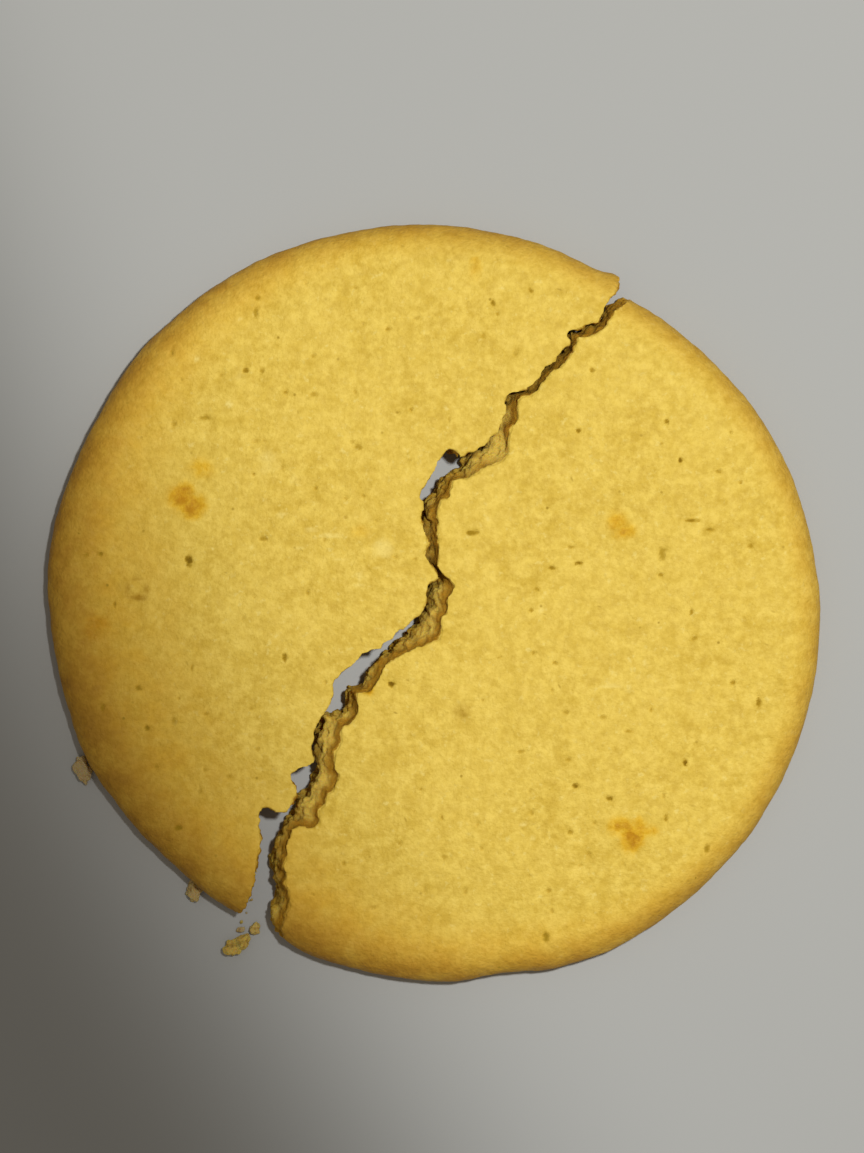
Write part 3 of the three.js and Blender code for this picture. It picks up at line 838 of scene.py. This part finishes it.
def crumb_colour(tree, at):
    """Grains first, then what the place in the break does to them."""
    grains = ranged(tree, grain(tree, at, size=0.4, detail=3, rough=0.65, frayed=0.4), 0.36, 0.64)
    colour = laid_over(tree, grains, CRUMB_DEEP, CRUMB_PALE)
    lit_ledge = ranged(tree, attribute(tree, "lit_ledge"), 0.0, 1.0, to_high=0.85)
    colour = laid_over(tree, lit_ledge, colour, CRUMB_LIT_LEDGE)
    hard_and_shaded = ranged(tree, attribute(tree, "hard_and_shaded"), 0.0, 1.0, to_high=0.85)
    colour = laid_over(tree, hard_and_shaded, colour, CRUMB_HARD_AND_SHADED)
    colour = laid_over(tree, attribute(tree, "chip"), colour, CRUMB_CHIP)
    colour = laid_over(tree, attribute(tree, "dry"), colour, CRUMB_DRY)
    narrow_shade = ranged(tree, attribute(tree, "narrow_shade"), 0.0, 1.0, to_high=0.8)
    colour = laid_over(tree, narrow_shade, colour, CRUMB_NARROW_SHADE)
    shade_in_hollows = ranged(tree, attribute(tree, "shade_in_hollows"), 0.0, 1.0, to_high=0.5)
    return laid_over(tree, shade_in_hollows, colour, CRUMB_SHADE_IN_HOLLOWS)


print("crumb goes from", CRUMB_SHADE_IN_HOLLOWS[:3], "to", CRUMB_PALE[:3])

# %% [markdown]
# Skin and crumb meet in one material, because on the cookie one runs into the other at the lip. Two
# materials would leave a seam there. The skin has a faint gloss from its sugar. The crumb is dull, and light
# soaks a little way into it, so that its hollows glow instead of going black. Fine bumps stand for grains
# that are smaller than the mesh can hold.

# %% The whole finish
GLOSS = 0.22
SKIN_ROUGHNESS = (0.58, 0.74)
CRUMB_ROUGHNESS = 0.95
CRUMB_GLOW = 0.5
GLOW_REACH = (1.0, 0.6, 0.2)
BUMP_HEIGHT = 0.065
LARGE_BUMPS = 1.4
CRUMB_BUMPS = 0.9
# From where crumb takes over from skin, once ragged noise is added to the numbers on the vertices.
TORN_FROM = (0.55, 0.8)
RAGGEDNESS = 0.5


def cookie_finish():
    """The one material of skin, crumb and pores."""
    finish = bpy.data.materials.new("baked_egg_cookie")
    finish.use_nodes = True
    tree = finish.node_tree
    shader = tree.nodes["Principled BSDF"]
    at = in_millimetres(tree)
    ragged = maths(tree, "MULTIPLY", grain(tree, at, size=0.25), RAGGEDNESS)
    torn = ranged(tree, maths(tree, "ADD", attribute(tree, "crumb"), ragged), *TORN_FROM)
    pore = attribute(tree, "pore")
    colour = laid_over(tree, torn, skin_colour(tree, at), crumb_colour(tree, at))
    colour = laid_over(tree, ranged(tree, pore, 0.05, 0.7), colour, PORE_OLIVE)
    colour = laid_over(tree, ranged(tree, pore, 0.5, 1.0), colour, PORE_DARK)
    tree.links.new(colour, shader.inputs["Base Color"])
    dull = maths(tree, "MAXIMUM", torn, ranged(tree, pore, 0.0, 0.5))
    skin_rough = ranged(tree, grain(tree, at, size=0.9, detail=3, rough=0.6), 0.3, 0.7, *SKIN_ROUGHNESS)
    rough = maths(tree, "MAXIMUM", skin_rough, maths(tree, "MULTIPLY", dull, CRUMB_ROUGHNESS))
    tree.links.new(rough, shader.inputs["Roughness"])
    shader.inputs["Specular IOR Level"].default_value = GLOSS
    tree.links.new(maths(tree, "MULTIPLY", torn, CRUMB_GLOW), shader.inputs["Subsurface Weight"])
    shader.inputs["Subsurface Radius"].default_value = GLOW_REACH
    shader.inputs["Subsurface Scale"].default_value = MM
    bump = tree.nodes.new("ShaderNodeBump")
    bump.inputs["Distance"].default_value = BUMP_HEIGHT * MM
    small = grain(tree, at, size=0.3)
    larger = maths(tree, "MULTIPLY", grain(tree, at, size=0.6, detail=3, rough=0.6), LARGE_BUMPS)
    on_crumb = maths(tree, "MULTIPLY", torn, CRUMB_BUMPS)
    finest = maths(tree, "MULTIPLY", grain(tree, at, size=0.16, detail=3, rough=0.7), on_crumb)
    height = maths(tree, "ADD", maths(tree, "ADD", small, larger), finest)
    tree.links.new(height, bump.inputs["Height"])
    tree.links.new(bump.outputs["Normal"], shader.inputs["Normal"])
    return finish


cookie = cookie_finish()
for piece in (*pieces.values(), crumbs):
    piece.data.materials.clear()
    piece.data.materials.append(cookie)
    piece.data.polygons.foreach_set("use_smooth", [True] * len(piece.data.polygons))
    piece.data.transform(Matrix.Scale(MM, 4))
    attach(piece, "root")
for name, piece in pieces.items():
    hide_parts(name)
print("finish on", len(pieces) + 1, "pieces")

# %% [markdown]
# The cookie lies on a plain pale floor. It could be any kind of surface, but a flat grid is enough. It is a
# hair below the cookie's base, so that the two surfaces don't fight.

# %% Floor
FLOOR_SIZE = 3.0
FLOOR_DROP = 0.01 * MM
FLOOR_COLOUR = (0.44, 0.445, 0.425, 1)
FLOOR_ROUGHNESS = 0.9
bm = bmesh.new()
bmesh.ops.create_grid(bm, x_segments=1, y_segments=1, size=FLOOR_SIZE / 2)
floor = bpy.data.objects.new("floor", bpy.data.meshes.new("floor"))
bm.to_mesh(floor.data)
bm.free()
floor.location.z = -FLOOR_DROP
scene.collection.objects.link(floor)
pale = bpy.data.materials.new("pale_floor")
pale.use_nodes = True
matt = pale.node_tree.nodes["Principled BSDF"]
matt.inputs["Base Color"].default_value = FLOOR_COLOUR
matt.inputs["Roughness"].default_value = FLOOR_ROUGHNESS
floor.data.materials.append(pale)
print("floor", FLOOR_SIZE, "m wide")

# %% [markdown]
# The light comes from above and a little from the right, and fades over the cookie's lower left. A screen in
# front of a broad lamp would do that. Here a dim, warm sky fills the shadows and one soft spot lamp gives the
# rest: the edge of its beam falls across the lower left, and the lamp's own width blurs that edge.

# %% Light
SKY_COLOUR = (1, 0.92, 0.82, 1)
SKY_STRENGTH = 0.22
# The lamp's places and radius are in metres, and its beam is in degrees.
LAMP_PLACE = (0.0885, 0.0615, 0.4044)
LAMP_AIM = (0.394, 0.216, 0)
LAMP_RADIUS = 0.016
LAMP_WATTS = 5.38
LAMP_BEAM = 122.2
LAMP_BLEND = 0.124

world = bpy.data.worlds.new("studio")
world.use_nodes = True
sky = world.node_tree.nodes["Background"]
sky.inputs["Color"].default_value = SKY_COLOUR
sky.inputs["Strength"].default_value = SKY_STRENGTH
scene.world = world
lamp = bpy.data.objects.new("overhead", bpy.data.lights.new("overhead", "SPOT"))
lamp.data.shadow_soft_size = LAMP_RADIUS
lamp.data.energy = LAMP_WATTS
lamp.data.spot_size = math.radians(LAMP_BEAM)
lamp.data.spot_blend = LAMP_BLEND
lamp.location = LAMP_PLACE
lamp.rotation_euler = (Vector(LAMP_AIM) - Vector(LAMP_PLACE)).to_track_quat("-Z", "Y").to_euler()
scene.collection.objects.link(lamp)
print("lamp", round(Vector(LAMP_PLACE).length, 2), "m away")

# %% [markdown]
# The camera looks straight down from about 40 cm, as in a close picture taken by hand. A long lens frames the
# cookie from there. A wide one, close up, would bulge its round form.

# %% Camera
CAMERA_PLACE = (-0.203 * MM, 2.656 * MM, 401.5 * MM)
LENS = 124.9
SENSOR_WIDTH = 36
NEAREST_SEEN = 0.01
camera = bpy.data.objects.new("camera", bpy.data.cameras.new("camera"))
camera.location = CAMERA_PLACE
camera.data.lens = LENS
camera.data.sensor_width = SENSOR_WIDTH
camera.data.clip_start = NEAREST_SEEN
scene.collection.objects.link(camera)
scene.camera = camera
scene.view_settings.view_transform = "Standard"
print("camera", CAMERA_PLACE[2], "m above the floor")
